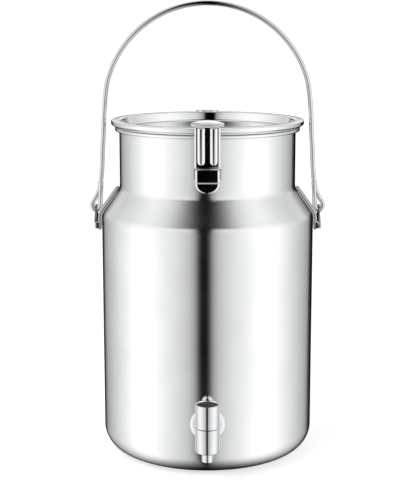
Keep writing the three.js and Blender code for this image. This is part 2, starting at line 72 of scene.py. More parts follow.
PIVOT = (98.0, 301.2)
CLAW_PIN = (105.0, 307.3)
PIN_R, PIN_HOLE_R, PIN_HEAD_R, PIN_HEAD = 1.5, 1.8, 2.5, 1.4
BASE_HALF, BASE_LOW, BASE_TOP, BASE_SHEET, CHEEK_R = 9.8, 291.0, 314.0, 2.2, 4.0
LEVER_HALF, LEVER_OUT, LEVER_TIP_OUT = 11.8, 109.1, 111.6
LEVER_TOP, LEVER_STEP, LEVER_LOW = 309.2, 296.4, 286.2
CLAW_HALF, CLAW_LOW, CLAW_IN, TONGUE_REACH = 12.5, 309.5, 100.3, 90.5
RIB_LOW, RIB_TOP, RIB_X, RIB_HALF, RIB_OUT = 312.4, 348.2, 6.1, 3.5, 103.4
LATCH_SHEET = 1.2
KNUCKLE_R = 2.6

PIVOT_Z = 253.4
HOOK_X, HOOK_R = 116.1, 4.1
WIRE_R = 2.46
ARCH_R, ARCH_Z = 106.2, 359.5
LEG_LINE = [(107.3, 337.0), (108.7, 316.0), (110.0, 292.0), (112.6, 275.0), (117.4, 264.8)]
TIP_LINE = [(111.5, 264.0, 3.0), (110.9, 271.0, 5.2), (110.4, 278.0, 6.2), (109.9, 285.0, 6.2)]

EAR_BAR_R, EAR_BAR_Y, EAR_BAR_LOW, EAR_BAR_TOP = 2.0, 16.0, 235.0, 278.0
EAR_PLATE, EAR_EYE_R, EAR_HOLE_R = 2.2, 6.2, 3.3
EAR_FOOT_Z, EAR_PLATE_LOW = 243.0, 236.5

AXIS_OUT = 146.0
INLET_Z = 57.0
BARREL_R = 12.0
BARREL_LOW, SEAM_Z, CAP_TOP = 40.2, 65.0, 88.5
BUTTON_R, BUTTON_LOW = 10.4, 87.2
NOZZLE_R, NOZZLE_BORE, NOZZLE_LOW = 5.75, 3.75, 30.6
CHAMBER_R, CHAMBER_LOW, INLET_R = 8.0, 45.7, 4.5
SHANK_R, SHANK_END, SHANK_SHOULDER_R = 7.5, 97.0, 10.0
FLANGE_R, FLANGE_NEAR, FLANGE_FAR = 17.2, 113.3, 116.3
FLANGE_FLAT, FLANGE_CURVE = 10.4, 10.15
LEVER_Z, BALL_OUT, BALL_R, ROD_R = 84.0, 123.6, 5.5, 2.0
PLUG_R, GROOVE_R, STEM_R, STEM_TOP, PORT_R = 7.7, 5.7, 4.0, 82.0, 3.5
SCREW_R, SCREW_SEAT, SCREW_HEAD_R = 2.2, 84.8, 5.6

GAP_TURN = math.radians(3.6)

FINE_TURN = 192
SMALL_TURN = 72


# ---- outline helpers -------------------------------------------------------------------

def arc(cx, cy, radius, start, end, steps):
    """Points on an arc, both ends included; angles in degrees."""
    points = []
    for i in range(steps + 1):
        a = math.radians(start + (end - start) * i / steps)
        points.append((cx + radius * math.cos(a), cy + radius * math.sin(a)))
    return points


def rounded(corners, steps=5):
    """An outline from (x, y, corner radius) points, each corner turned into an arc."""
    outline = []
    for i, (x, y, radius) in enumerate(corners):
        here = Vector((x, y))
        if radius <= 0:
            outline.append((x, y))
            continue
        before = Vector(corners[i - 1][:2]) - here
        after = Vector(corners[(i + 1) % len(corners)][:2]) - here
        before.normalize()
        after.normalize()
        half = before.angle(after) / 2
        centre = here + (before + after).normalized() * (radius / math.sin(half))
        first = here + before * (radius / math.tan(half)) - centre
        last = here + after * (radius / math.tan(half)) - centre
        sweep = first.angle_signed(last)
        for k in range(steps + 1):
            spoke = first.copy()
            spoke.rotate(Matrix.Rotation(-sweep * k / steps, 2))
            outline.append(tuple(centre + spoke))
    return outline


def shoulder(offset, steps):
    """The shoulder's outline from body to neck, offset outwards."""
    turn = 90 - SHOULDER_ANGLE
    low_centre = BODY_R - SHOULDER_FILLET
    high_centre = NECK_R + SHOULDER_FILLET
    shift = SHOULDER_FILLET * math.cos(math.radians(turn))
    rise = 2 * SHOULDER_FILLET * math.sin(math.radians(turn))
    run = (low_centre + shift) - (high_centre - shift)
    high_z = SHOULDER_Z + rise + run * math.tan(math.radians(SHOULDER_ANGLE))
    low = arc(low_centre, SHOULDER_Z, SHOULDER_FILLET + offset, 0, turn, steps)
    high = arc(high_centre, high_z, SHOULDER_FILLET - offset, 180 + turn, 180, steps)
    return low + high


def spline(points, steps):
    """A smooth path through 3-D points: a centripetal Catmull-Rom spline."""
    ends = [points[0] * 2 - points[1], *points, points[-1] * 2 - points[-2]]
    path = []
    for a, b, c, d in zip(ends, ends[1:], ends[2:], ends[3:]):
        knots = [0.0]
        for p, q in ((a, b), (b, c), (c, d)):
            knots.append(knots[-1] + math.sqrt((q - p).length))
        k0, k1, k2, k3 = knots
        for i in range(steps):
            t = k1 + (k2 - k1) * i / steps
            ab = a.lerp(b, (t - k0) / (k1 - k0))
            bc = b.lerp(c, (t - k1) / (k2 - k1))
            cd = c.lerp(d, (t - k2) / (k3 - k2))
            abc = ab.lerp(bc, (t - k0) / (k2 - k0))
            bcd = bc.lerp(cd, (t - k1) / (k3 - k1))
            path.append(abc.lerp(bcd, (t - k1) / (k2 - k1)))
    path.append(points[-1].copy())
    return path


# ---- mesh helpers ----------------------------------------------------------------------

def finished(name, bm, sharp=35.0):
    """An object from a bmesh, in metres, smooth but for edges sharper than an angle."""
    bmesh.ops.recalc_face_normals(bm, faces=bm.faces)
    mesh = bpy.data.meshes.new(name)
    bm.to_mesh(mesh)
    bm.free()
    return linked(name, mesh, sharp)


def linked(name, mesh, sharp):
    """A new object in the scene, smooth but for edges sharper than an angle."""
    mesh.shade_smooth()
    mesh.set_sharp_from_angle(angle=math.radians(sharp))
    obj = bpy.data.objects.new(name, mesh)
    bpy.context.scene.collection.objects.link(obj)
    return obj


def turned(name, profile, segments=FINE_TURN, place=None, sharp=35.0):
    """Turns an (r, z) outline about Z. An outline that starts on the axis ends there too."""
    bm = bmesh.new()
    uv = bm.loops.layers.uv.new("UVMap")
    rings, lengths = [], [0.0]
    for (r0, z0), (r1, z1) in zip(profile, profile[1:] + profile[:1]):
        lengths.append(lengths[-1] + math.hypot(r1 - r0, z1 - z0) * MM)
    for r, z in profile:
        count = 1 if r < 1e-6 else segments
        angles = [2 * math.pi * i / segments for i in range(count)]
        rings.append([bm.verts.new((r * MM * math.cos(a), r * MM * math.sin(a), z * MM))
                      for a in angles])
    last = len(rings) - 1 if profile[0][0] < 1e-6 else len(rings)
    for k in range(last):
        low, high = rings[k], rings[(k + 1) % len(rings)]
        for i in range(segments):
            j = (i + 1) % segments
            u0, u1 = i / segments, (i + 1) / segments
            loop = [(low[i % len(low)], u0, 0), (low[j % len(low)], u1, 0),
                    (high[j % len(high)], u1, 1), (high[i % len(high)], u0, 1)]
            corners = [c for n, c in enumerate(loop) if c[0] not in [d[0] for d in loop[:n]]]
            if len(corners) < 3:
                continue
            face = bm.faces.new([c[0] for c in corners])
            for piece, (_, u, side) in zip(face.loops, corners):
                piece[uv].uv = (u, lengths[k + side])
    if place is not None:
        bm.transform(place)
    return finished(name, bm, sharp)


PLANES = {
    "front": lambda a, b, c: (a, -c, b),
    "side": lambda a, b, c: (c, -a, b),
    "top": lambda a, b, c: (a, -b, c),
}


def slab(name, outline, plane, low, high, bevel=0.0):
    """A flat outline carried from one depth to another, its edges eased by a bevel.

    front: (x, z) carried outwards; side: (out, z) carried across X; top: (x, out) carried up.
    """
    bm = bmesh.new()
    place = PLANES[plane]
    corners = [[c * MM for c in place(a, b, low)] for a, b in outline]
    start, end = [Vector([c * MM for c in place(0, 0, depth)]) for depth in (low, high)]
    base = bm.faces.new([bm.verts.new(c) for c in corners])
    grown = bmesh.ops.extrude_face_region(bm, geom=[base])
    moved = [v for v in grown["geom"] if isinstance(v, bmesh.types.BMVert)]
    bmesh.ops.translate(bm, verts=moved, vec=end - start)
    bmesh.ops.recalc_face_normals(bm, faces=bm.faces)
    if bevel > 0:
        sharp = [e for e in bm.edges if e.calc_face_angle(0) > math.radians(40)]
        bmesh.ops.bevel(bm, geom=sharp, offset=bevel * MM, segments=2, profile=0.6,
                        affect="EDGES", clamp_overlap=True)
    return finished(name, bm)


def rod(name, radius, start, end, sides=40, ease=0.0):
    """A round bar between two points, in millimetres, with eased ends."""
    start, end = Vector(start), Vector(end)
    length = (end - start).length
    if ease > 0:
        low = arc(radius - ease, ease, ease, -90, 0, 4)
        high = arc(radius - ease, length - ease, ease, 0, 90, 4)
    else:
        low, high = [(radius, 0)], [(radius, length)]
    turn = (end - start).to_track_quat("Z", "Y").to_matrix().to_4x4()
    place = Matrix.Translation(start * MM) @ turn
    return turned(name, [(0, 0), *low, *high, (0, length)], sides, place)


def wire(name, path, radius, resolution=7):
    """A round wire along a path in millimetres, with rounded ends."""
    curve = bpy.data.curves.new(name, "CURVE")
    curve.dimensions = "3D"
    curve.bevel_depth = radius * MM
    curve.bevel_resolution = resolution
    curve.use_fill_caps = True
    line = curve.splines.new("POLY")
    cap = [(math.cos(a), math.sin(a)) for a in (math.radians(d) for d in (78, 55, 30))]
    first = (path[1] - path[0]).normalized()
    last = (path[-1] - path[-2]).normalized()
    body = [p for p in path if (p - path[0]).length >= radius and (p - path[-1]).length >= radius]
    head = [(path[0] + first * (radius - radius * s), c) for c, s in cap]
    tail = [(path[-1] - last * (radius - radius * s), c) for c, s in reversed(cap)]
    points = head + [(p, 1.0) for p in body] + tail
    line.points.add(len(points) - 1)
    for point, (p, share) in zip(line.points, points):
        point.co = (*(p * MM), 1)
        point.radius = share
    tube = bpy.data.objects.new(name, curve)
    bpy.context.scene.collection.objects.link(tube)
    graph = bpy.context.evaluated_depsgraph_get()
    bm = bmesh.new()
    bm.from_mesh(tube.evaluated_get(graph).to_mesh())
    bpy.data.objects.remove(tube)
    bmesh.ops.remove_doubles(bm, verts=bm.verts, dist=1e-6)
    return finished(name, bm, 50)


def combined(target, tools, operation):
    """Cuts the tools from the target, or joins them to it, and removes the tools."""
    for tool in tools:
        change = target.modifiers.new("change", "BOOLEAN")
        change.operation = operation
        change.solver = "EXACT"
        change.object = tool
        graph = bpy.context.evaluated_depsgraph_get()
        mesh = bpy.data.meshes.new_from_object(target.evaluated_get(graph))
        target.modifiers.clear()
        target.data = mesh
        bpy.data.objects.remove(tool)
    target.data.shade_smooth()
    target.data.set_sharp_from_angle(angle=math.radians(30))
    return target


def cut(target, *tools):
    return combined(target, tools, "DIFFERENCE")


def join(target, *tools):
    return combined(target, tools, "UNION")


# ---- materials -------------------------------------------------------------------------

GRAIN_DEPTH = 0.0002


def new_material(name):
    """A material with its node tree and its shader."""
    material = bpy.data.materials.new(name)
    material.use_nodes = True
    tree = material.node_tree
    return material, tree, tree.nodes["Principled BSDF"]


def add(tree, kind, inputs=None, **settings):
    """A node with its settings and its input values or links."""
    node = tree.nodes.new(kind)
    for key, value in settings.items():
        setattr(node, key, value)
    for key, value in (inputs or {}).items():
        if isinstance(value, bpy.types.NodeSocket):
            tree.links.new(value, node.inputs[key])
        else:
            node.inputs[key].default_value = value
    return node


def noise(tree, vector, scale, detail=4.0, roughness=0.55):
    """Cloudy noise from about 0.3 to 0.7."""
    return add(tree, "ShaderNodeTexNoise", {
        "Vector": vector, "Scale": scale, "Detail": detail, "Roughness": roughness,
    }).outputs["Fac"]


def spread(tree, value, low, high, start=0.3, end=0.7):
    """Maps a noise value to a range."""
    return add(tree, "ShaderNodeMapRange", {
        "Value": value, "From Min": start, "From Max": end, "To Min": low, "To Max": high,
    }).outputs["Result"]


def scaled(tree, source, scale):
    """Coordinates multiplied axis by axis."""
    return add(tree, "ShaderNodeMapping", {"Vector": source, "Scale": scale}).outputs["Vector"]


def steel(name, tint, rough, bump, grain_source, grain, anisotropic=0.0, turn=0.0):
    """Stainless steel: a slightly uneven tone and gloss with a fine directional grain."""
    haze = 0.02
    material, tree, shader = new_material(name)
    coords = add(tree, "ShaderNodeTexCoord")
    place = coords.outputs["Object"]
    clouds = noise(tree, place, 18.0, 3.0)
    lines = noise(tree, scaled(tree, coords.outputs[grain_source], grain), 1.0, 5.0, 0.65)
    light = tuple(min(1.0, c * 1.03) for c in tint)
    dark = tuple(c * 0.95 for c in tint)
    colour = add(tree, "ShaderNodeMix", {
        "Factor": spread(tree, clouds, 0, 1), "A": (*dark, 1), "B": (*light, 1),
    }, data_type="RGBA")
    tree.links.new(colour.outputs["Result"], shader.inputs["Base Color"])
    mixed = add(tree, "ShaderNodeMath", {0: clouds, 1: lines}, operation="ADD").outputs[0]
    gloss = spread(tree, mixed, rough - haze, rough + haze, 0.7, 1.3)
    tree.links.new(gloss, shader.inputs["Roughness"])
    relief = add(tree, "ShaderNodeBump", {
        "Strength": bump, "Distance": GRAIN_DEPTH, "Height": lines,
    })
    tree.links.new(relief.outputs["Normal"], shader.inputs["Normal"])
    shader.inputs["Metallic"].default_value = 1.0
    shader.inputs["Anisotropic"].default_value = anisotropic
    shader.inputs["Anisotropic Rotation"].default_value = turn
    if anisotropic > 0:
        tangent = add(tree, "ShaderNodeTangent", direction_type="RADIAL", axis="Z")
        tree.links.new(tangent.outputs["Tangent"], shader.inputs["Tangent"])
    return material


def elastic(name, tint, rough):
    """Moulded silicone or rubber: soft gloss with a fine orange peel."""
    material, tree, shader = new_material(name)
    place = add(tree, "ShaderNodeTexCoord").outputs["Object"]
    dust = noise(tree, place, 90.0)
    colour = add(tree, "ShaderNodeMix", {
        "Factor": spread(tree, dust, 0, 1),
        "A": (*[c * 0.9 for c in tint], 1), "B": (*tint, 1),
    }, data_type="RGBA")
    tree.links.new(colour.outputs["Result"], shader.inputs["Base Color"])
    tree.links.new(spread(tree, dust, rough - 0.08, rough + 0.08), shader.inputs["Roughness"])
    peel = add(tree, "ShaderNodeBump", {
        "Strength": 0.2, "Distance": GRAIN_DEPTH, "Height": noise(tree, place, 900.0),
    })
    tree.links.new(peel.outputs["Normal"], shader.inputs["Normal"])
    return material


def make_materials():
    satin, bright = (0.82, 0.83, 0.835), (0.86, 0.87, 0.88)
    steels = [
        ("can_brushed", satin, 0.21, 0.04, "UV", (6, 2600, 1), 0.92, 0.25),
        ("lid_brushed", satin, 0.08, 0.03, "UV", (6, 2600, 1)),
        ("lid_polished", bright, 0.08, 0.02, "UV", (8, 1500, 1)),
        ("bail_polished", (0.66, 0.67, 0.68), 0.04, 0.02, "Object", (300, 300, 300)),
        ("latch_polished", (0.8, 0.81, 0.82), 0.06, 0.03, "Object", (1600, 200, 60)),
        ("spigot_polished", (0.7, 0.71, 0.72), 0.045, 0.03, "Object", (60, 60, 1800)),
        ("fittings_steel", (0.42, 0.43, 0.44), 0.14, 0.05, "Object", (500, 500, 500)),
    ]
    return {
        **{row[0]: steel(*row) for row in steels},
        "silicone": elastic("silicone", (0.85, 0.84, 0.82), 0.45),
        "rubber": elastic("rubber", (0.03, 0.03, 0.032), 0.55),
    }


materials = make_materials()
slots = {entry["node"]: entry["material_slot"] for entry in frame["record"]["subparts"]}


def dress(piece, *nodes):
    """A piece stands for CAD nodes: it rides on their body and takes their slot's material.

    Only the two big shells show in reflections; the walls would smear the small pieces.
    """
    bodies = frame["record"]["behaviour"]["bodies"]
    body = next(b for b, names in bodies.items() if nodes[0] in names)
    chosen = slots[nodes[0]]
    piece.data.materials.clear()
    piece.data.materials.append(materials[chosen])
    piece.visible_glossy = nodes[0] in ("can_shell", "lid_shell")
    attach(piece, body)
    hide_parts(*nodes)


# ---- the can ---------------------------------------------------------------------------

WALL_LANES = (38.0, 76.0)


def wall(offset, base_z, steps):
    """The can wall's outline from the middle of the base to the mouth."""
    corner = arc(BODY_R - BASE_CORNER, BASE_CORNER, BASE_CORNER + offset, -90, 0, 2 * steps)
    lanes = [(BODY_R + offset, z) for z in WALL_LANES]
    return [(0, base_z), *corner, *lanes, *shoulder(offset, steps), (NECK_R + offset, BEAD_LOW)]


def make_can():
    """One skin from the base up the wall, round the mouth's bead and down the inside."""
    half = (BEAD_HIGH - BEAD_LOW) / 2
    bead = arc(BEAD_R - half, BEAD_LOW + half, half, -90, 90, 12)
    ease = 1.2
    lip = arc(NECK_R - SHEET + ease, BEAD_HIGH - ease, ease, 90, 180, 5)
    inside = wall(-SHEET, SHEET, 12)[:-1]
    outline = [*wall(0, 0, 12), *bead, *lip, *reversed(inside)]
    can = turned("can_shell_skin", outline)
    hole = rod("hole", SHANK_R + GAP, (0, -BODY_R + 8, INLET_Z), (0, -BODY_R - 8, INLET_Z), 48)
    dress(cut(can, hole), "can_shell")


# ---- ears and bail ---------------------------------------------------------------------

def ear_bar(y):
    """A bar up the wall and over the shoulder's edge."""
    lift = EAR_BAR_R + GAP
    outline = [
        (BODY_R + lift, EAR_BAR_LOW),
        (BODY_R + lift, (EAR_BAR_LOW + SHOULDER_Z) / 2),
        *[(r, z) for r, z in shoulder(lift, 4) if z < EAR_BAR_TOP - 1],
    ]
    points = [Vector((math.sqrt(r * r - y * y), y, z)) for r, z in outline]
    return wire("ear_bar", spline(points, 5), EAR_BAR_R)


def ear_plate():
    """The upright plate with the eye that the hook passes through."""
    half = EAR_BAR_Y + EAR_BAR_R
    base = rounded([
        (-half, EAR_PLATE_LOW, 2.0), (half, EAR_PLATE_LOW, 2.0), (half, EAR_FOOT_Z, 1.5),
    ])
    eye = arc(0, PIVOT_Z, EAR_EYE_R, 0, 180, 24)
    outline = [*base[:-1], *eye, (-half, EAR_FOOT_Z)]
    low = HOOK_X - EAR_PLATE / 2
    plate = slab("ear_plate", outline, "side", low, low + EAR_PLATE, 0.35)
    hole = rod("eye", EAR_HOLE_R, (low - 3, 0, PIVOT_Z), (low + EAR_PLATE + 3, 0, PIVOT_Z), 40)
    return cut(plate, hole)


def ear_pad(side):
    """The pad that stands the plate off from one bar."""
    inner, outer = EAR_BAR_Y - EAR_BAR_R, EAR_BAR_Y + EAR_BAR_R
    edges = sorted((side * inner, side * outer))
    outline = [(edges[0], EAR_PLATE_LOW), (edges[1], EAR_PLATE_LOW),
               (edges[1], EAR_FOOT_Z), (edges[0], EAR_FOOT_Z)]
    low = BODY_R + GAP + EAR_BAR_R / 2
    return slab("ear_pad", outline, "side", low, HOOK_X, 0.4)


def make_ear(side):
    ear = join(ear_plate(), ear_bar(EAR_BAR_Y), ear_bar(-EAR_BAR_Y), ear_pad(1), ear_pad(-1))
    if side < 0:
        ear.data.transform(Matrix.Rotation(math.pi, 4, "Z"))
    name = "ear_right" if side > 0 else "ear_left"
    ear.name = name + "_welded"
    dress(ear, name)


def bail_half():
    """The wire's centre line on the right, from the top of the arch to the hook's tip."""
    hook_z = PIVOT_Z + HOOK_R
    flat = [
        *arc(0, ARCH_Z, ARCH_R, 90, 0, 6),
        *LEG_LINE,
        (HOOK_X + HOOK_R - 0.4, hook_z + 3.5),
        *arc(HOOK_X, hook_z, HOOK_R, 0, -180, 6),
    ]
    tip = [Vector((x, -out, z)) for x, z, out in TIP_LINE]
    return [*[Vector((x, 0, z)) for x, z in flat], *tip]


def make_bail():
    """The bail: one wire, the left half a mirror of the right."""
    right = bail_half()
    left = [Vector((-p.x, p.y, p.z)) for p in right[1:]]
    path = spline([*reversed(left), *right], 8)
    dress(wire("bail_wire", path, WIRE_R, 8), "bail_handle")


# ---- the lid ---------------------------------------------------------------------------

def make_lid():
    """A pressed lid: skirt, raised rim and a dished middle with the knob's hole."""
    under = LID_TOP - SHEET
    outline = rounded([
        (SKIRT_R, SKIRT_LOW, 0.4),
        (RIM_R - 0.3, CREASE_Z, 1.0),
        (RIM_R, LID_TOP, 1.3),
        (RIM_INNER, LID_TOP, 1.2),
        (DISH_R, FLOOR_Z, 2.2),
        (0, FLOOR_Z, 0),
        (0, FLOOR_Z - SHEET, 0),
        (DISH_R + 0.8, FLOOR_Z - SHEET, 2.8),
        (RIM_INNER + SHEET, under, 0.9),
        (RIM_R - SHEET, under, 0.9),
        (RIM_R - SHEET - 0.4, CREASE_Z + 0.2, 0.3),
        (SKIRT_R - SHEET, SKIRT_LOW, 0.4),
    ], 6)
    start = next(i for i, (r, z) in enumerate(outline) if r == 0 and z < FLOOR_Z)
    lid = turned("lid_skin", outline[start:] + outline[:start])
    hole = rod("hole", LID_HOLE_R, (0, 0, FLOOR_Z - 4), (0, 0, FLOOR_Z + 4), 32)
    dress(cut(lid, hole), "lid_shell")


def make_knob():
    """A low domed knob on a stem that stands on the dish."""
    dome_r = (KNOB_R ** 2 + KNOB_RISE ** 2) / (2 * KNOB_RISE)
    lean = math.degrees(math.asin((KNOB_R - 1.0) / dome_r))
    dome = arc(0, KNOB_TOP - dome_r, dome_r, 90 - lean, 90, 14)
    stem_low = FLOOR_Z + GAP
    ease = 0.6
    outline = [
        (0, stem_low), (KNOB_STEM_R, stem_low), (KNOB_STEM_R, KNOB_LOW),
        (KNOB_R - ease, KNOB_LOW), (KNOB_R, KNOB_LOW + ease),
        (KNOB_R, dome[0][1] - ease), *dome[:-1], (0, KNOB_TOP),
    ]
    dress(turned("lid_knob_cap", outline, 96), "lid_knob")


# ---- one toggle latch, drawn at the front ----------------------------------------------

def pin_hole(place):
    """The tool that drills a rivet's hole across the latch."""
    out, z = place
    return rod("hole", PIN_HOLE_R, (-20, -out, z), (20, -out, z), 28)


def latch_base():
    """The plate on the neck and the two cheeks that hold the lever's rivet."""
    back = NECK_R + BASE_SHEET
    plate = slab("latch_base", rounded([
        (-BASE_HALF, BASE_LOW, 3), (BASE_HALF, BASE_LOW, 3),
        (BASE_HALF, BASE_TOP, 3), (-BASE_HALF, BASE_TOP, 3),
    ]), "front", NECK_R - 4, back, 0.3)
    low, high = BASE_LOW - 5, BASE_TOP + 5
    neck = turned("neck", [(0, low), (NECK_R + GAP, low), (NECK_R + GAP, high), (0, high)])
    out, z = PIVOT
    cheek = [(back - 1, z - 6), *arc(out, z, CHEEK_R, -60, 60, 12), (back - 1, z + 6)]
    cheeks = [slab("cheek", cheek, "side", low_x, low_x + LATCH_SHEET, 0.2)
              for low_x in (-BASE_HALF, BASE_HALF - LATCH_SHEET)]
    hole = pin_hole(PIVOT)
    return cut(join(cut(plate, neck), *cheeks), hole)


def latch_pin(place):
    """A rivet across the latch with a button head at each end."""
    out, z = place
    inner = LEVER_HALF + GAP
    outer = inner + PIN_HEAD
    shaft = rod("latch_pin", PIN_R, (-inner - 0.2, -out, z), (inner + 0.2, -out, z), 28)
    heads = [rod("head", PIN_HEAD_R, (side * inner, -out, z), (side * outer, -out, z), 36, 0.6)
             for side in (-1, 1)]
    return join(shaft, *heads)


def hull(circles):
    """The outline around some circles, from (x, y, radius)."""
    points = sorted({(round(x, 5), round(y, 5)) for cx, cy, r in circles
                     for x, y in arc(cx, cy, r, 0, 345, 23)})
    sides = []
    for run in (points, points[::-1]):
        side = []
        for x, y in run:
            while len(side) > 1 and ((side[-1][0] - side[-2][0]) * (y - side[-2][1])
                                     - (side[-1][1] - side[-2][1]) * (x - side[-2][0])) <= 0:
                side.pop()
            side.append((x, y))
        sides += side[:-1]
    return sides


def tongue_outline(half, low, high, corner, inset):
    """A plate with a flattened round lower end, drawn a little smaller by the inset."""
    side = half - inset
    tip = max(corner - inset, 0.05)
    top = high - 0.3 * inset - tip
    flatness = 0.78
    return [
        *arc(side - tip, top, tip, 0, 90, 12),
        *arc(tip - side, top, tip, 90, 180, 12),
        *[(x, low + flatness * half + flatness * z) for x, z in arc(0, 0, side, 180, 360, 48)],
    ]


def pan(tongue, front, depth, curve, sheet):
    """A pressed plate with turned-back edges: the outer skin, then the inner one."""
    bm = bmesh.new()
    levels = [(curve + 0.15, front)]
    for k in range(13):
        a = math.radians(90 * k / 12)
        levels.append((curve * (1 - math.sin(a)), front - curve * (1 - math.cos(a))))
    levels += [(0, front - depth), (sheet, front - depth)]
    for k in range(5):
        a = math.radians(90 * k / 4)
        inner = curve - sheet
        levels.append((sheet + inner * (1 - math.cos(a)), front - curve + inner * math.sin(a)))
    rings = []
    for inset, out in levels:
        ring = tongue_outline(*tongue, inset)
        rings.append([bm.verts.new((x * MM, -out * MM, z * MM)) for x, z in ring])
    for one, two in zip(rings, rings[1:]):
        for i in range(len(one)):
            j = (i + 1) % len(one)
            bm.faces.new((one[i], one[j], two[j], two[i]))
    bm.faces.new(rings[0])
    bm.faces.new(rings[-1])
    return bm


def latch_lever():
    """The lever: a pressed plate with a step across it, and a flange down each side."""
    bm = pan((LEVER_HALF, LEVER_LOW, LEVER_TOP, 1.6), LEVER_OUT, 4.2, 2.1, LATCH_SHEET)
    step_top, step_low = LEVER_STEP + 0.5, LEVER_STEP - 0.6
    steepness, rise = 1.4, 1.54
    for level in (step_top + 0.3, step_top, step_low, step_low - 0.3):
        bmesh.ops.bisect_plane(bm, geom=[*bm.verts, *bm.edges, *bm.faces],
                               plane_co=(0, 0, level * MM), plane_no=(0, 0, 1))
    for vert in bm.verts:
        down = max(0.0, step_top - vert.co.z / MM)
        step = min(down, step_top - step_low) * steepness
        slope = max(0.0, step_low - vert.co.z / MM) / (step_low - LEVER_LOW)
        vert.co.y -= (step + slope * (LEVER_TIP_OUT - LEVER_OUT - rise)) * MM
    plate = finished("latch_lever", bm, 25)
    pin_out, pin_z = CLAW_PIN
    out, z = PIVOT
    flange = hull([(pin_out, pin_z, 2.9), (out, z, 3.2), (LEVER_OUT - 2.2, LEVER_TOP - 1.6, 1),
                   (LEVER_OUT - 2.2, LEVER_STEP + 1, 1), (LEVER_OUT - 2.0, LEVER_STEP - 5, 1)])
    flanges = [slab("flange", flange, "side", low, low + LATCH_SHEET, 0.2)
               for low in (-LEVER_HALF, LEVER_HALF - LATCH_SHEET)]
    holes = [pin_hole(PIVOT), pin_hole(CLAW_PIN)]
    return cut(join(plate, *flanges), *holes)


def rib(x):
    """A long pressed rib with a round back and a round lower end, standing out of the claw."""
    rise = RIB_OUT - CLAW_IN - LATCH_SHEET
    base = CLAW_IN + LATCH_SHEET / 2
    levels = [(0.0, base)]
    for k in range(10):
        a = math.radians(90 * k / 10)
        levels.append((RIB_HALF * (1 - math.cos(a)), CLAW_IN + LATCH_SHEET + rise * math.sin(a)))
    bm = bmesh.new()
    rings = []
    for inset, out in levels:
        half = RIB_HALF - inset
        top = RIB_TOP - 0.35 * inset
        low = arc(x, RIB_LOW + RIB_HALF, half, 180, 360, 20)
        ring = [(x + half, top), (x - half, top), *low]
        rings.append([bm.verts.new((px * MM, -out * MM, pz * MM)) for px, pz in ring])
    for inner, outer in zip(rings, rings[1:]):
        for i in range(len(inner)):
            j = (i + 1) % len(inner)
            bm.faces.new((inner[i], inner[j], outer[j], outer[i]))
    bm.faces.new(rings[0])
    bm.faces.new(rings[-1])
    return finished("rib", bm, 60)


def bent_strip(path, normals, widths, sheet, ease):
    """A sheet carried along a side path of (out, z) points, its long edges rounded off."""
    bm = bmesh.new()
    rings = []
    for (out, z), (nx, nz), half in zip(path, normals, widths):
        across = [(half - ease + ease * math.sin(a), sheet * (0.12 + 0.88 * math.cos(a)))
                  for a in (math.radians(d) for d in range(0, 91, 10))]
        mirrored = [(-x, t) for x, t in reversed(across)]
        section = [(-half + 0.3, 0.0), *mirrored, *across, (half - 0.3, 0.0)]
        rings.append([bm.verts.new((x * MM, -(out + nx * t) * MM, (z + nz * t) * MM))
                      for x, t in section])
    for one, two in zip(rings, rings[1:]):
        for i in range(len(one)):
            j = (i + 1) % len(one)
            bm.faces.new((one[i], one[j], two[j], two[i]))
    bm.faces.new(rings[0])
    bm.faces.new(rings[-1])
    return finished("strip", bm, 40)


def latch_claw():
    """The claw: a plate bent over the lid's rim, two ribs, and a knuckle for its rivet."""
    tongue_low = LID_TOP + GAP
    inner = 0.5
    bend = arc(CLAW_IN - inner, tongue_low - inner, inner, 0, 90, 8)
    rise = [CLAW_LOW + (tongue_low - inner - CLAW_LOW) * k / 6 for k in range(6)]
    path = [(CLAW_IN, z) for z in rise] + bend
    normals = [(1.0, 0.0)] * len(rise)
    normals += arc(0, 0, 1, 0, 90, 8)
    widths = [CLAW_HALF] * len(path)
    end = 6.0
    for k in range(13):
        a = math.radians(90 * k / 12)
        path.append((TONGUE_REACH + end * (1 - math.sin(a)), tongue_low))
        normals.append((0.0, 1.0))
        widths.append(CLAW_HALF - 1.2 - end * (1 - math.cos(a)))
    plate = bent_strip(path, normals, widths, LATCH_SHEET * 0.999, 2.2)
    pin_out, pin_z = CLAW_PIN
    half = LEVER_HALF - 1.5
    web = [(CLAW_IN, CLAW_LOW), (pin_out - 2.2, pin_z - 0.8), (pin_out - 1.2, pin_z + 2.4),
           (CLAW_IN + LATCH_SHEET, CLAW_LOW + 1.2), (CLAW_IN, CLAW_LOW + 1.2)]
    parts = [
        slab("web", web, "side", -half, half),
        rod("knuckle", KNUCKLE_R, (-half, -pin_out, pin_z), (half, -pin_out, pin_z), 40, 0.3),
        rib(-RIB_X),
        rib(RIB_X),
    ]
    hole = pin_hole(CLAW_PIN)
    return cut(join(plate, *parts), hole)


def make_latch(end):
    """The five pieces of one latch; the rear one is the front one turned half round."""
    makers = {
        "latch_base": latch_base,
        "latch_pivot_pin": lambda: latch_pin(PIVOT),
        "latch_lever": latch_lever,
        "latch_claw_pin": lambda: latch_pin(CLAW_PIN),
        "latch_claw": latch_claw,
    }
    for name, maker in makers.items():
        piece = maker()
        piece.name = f"{end}_{name}_piece"
        if end == "rear":
            piece.data.transform(Matrix.Rotation(math.pi, 4, "Z"))
        dress(piece, f"{end}_{name}")


# ---- the spigot ------------------------------------------------------------------------

SPIGOT_PLACE = Matrix.Translation((0, -AXIS_OUT * MM, 0))
INLET_PLACE = Matrix.Translation((0, 0, INLET_Z * MM)) @ Matrix.Rotation(math.pi / 2, 4, "X")


